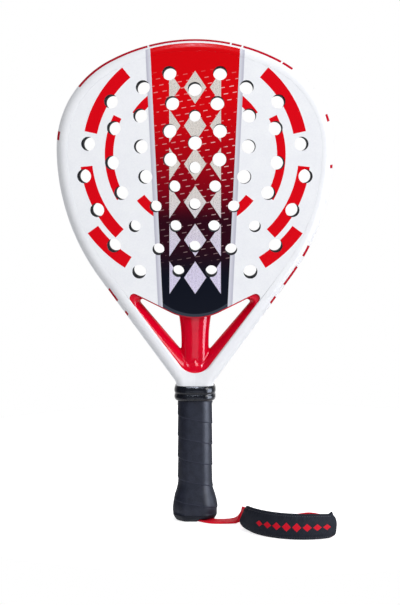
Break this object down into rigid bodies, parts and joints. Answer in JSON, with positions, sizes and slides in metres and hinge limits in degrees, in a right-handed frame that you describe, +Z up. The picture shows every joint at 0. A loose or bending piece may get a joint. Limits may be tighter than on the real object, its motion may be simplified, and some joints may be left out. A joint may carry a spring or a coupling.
{
  "type": "padel racket",
  "caption": "Teardrop padel racket with a drilled foam core between two faces, an open throat, a tape-wound handle and a padded wrist strap.",
  "frame": {"origin": "centre of the butt's flat underside, on the floor that the racket stands on", "axes": "+Z up the handle to the crown of the head, -Y out of the front face, +X to the right of the front face, where the wrist strap lies"},
  "size_m": [0.2586, 0.1062, 0.455],
  "materials": {
    "white_paint": "white lacquer on carbon",
    "core_foam": "matt foam, drilled",
    "face_print": "printed and lacquered carbon face",
    "red_paint": "red gloss lacquer",
    "handle_foam": "moulded hard foam",
    "grip_tape": "wound synthetic grip tape, satin",
    "black_tape": "thin adhesive tape",
    "collar_rubber": "smooth black rubber",
    "cap_plastic": "dark moulded plastic",
    "red_webbing": "woven red webbing",
    "pad_cloth": "padded black cloth",
    "pad_lining": "soft black lining"
  },
  "bodies": {
    "racket": {"frame_tube": "white_paint", "foam_core": "core_foam", "front_face": "face_print", "back_face": "face_print", "bridge_bar": "red_paint", "throat_yoke": "red_paint", "pallet_front": "handle_foam", "pallet_back": "handle_foam", "grip_tape": "grip_tape", "finishing_tape": "black_tape", "grip_collar": "collar_rubber", "butt_cap": "cap_plastic", "strap_knot": "red_webbing", "strap_tail": "red_webbing"},
    "strap": {"strap_lead": "red_webbing", "strap_loop": "red_webbing"},
    "sleeve": {"pad_cover": "pad_cloth", "pad_lining": "pad_lining"}
  },
  "joints": [
    {"name": "strap_swing", "type": "hinge", "parent": "racket", "child": "strap", "pos_m": [0.01627, -0.01627, 0.00125], "axis": [0, 0, 1], "range_deg": [-105, 15]},
    {"name": "sleeve_slide", "type": "hinge", "parent": "strap", "child": "sleeve", "pos_m": [0.0986, -0.033, 0.0096], "axis": [0, 0, 1], "range_deg": [-6, 0]}
  ]
}
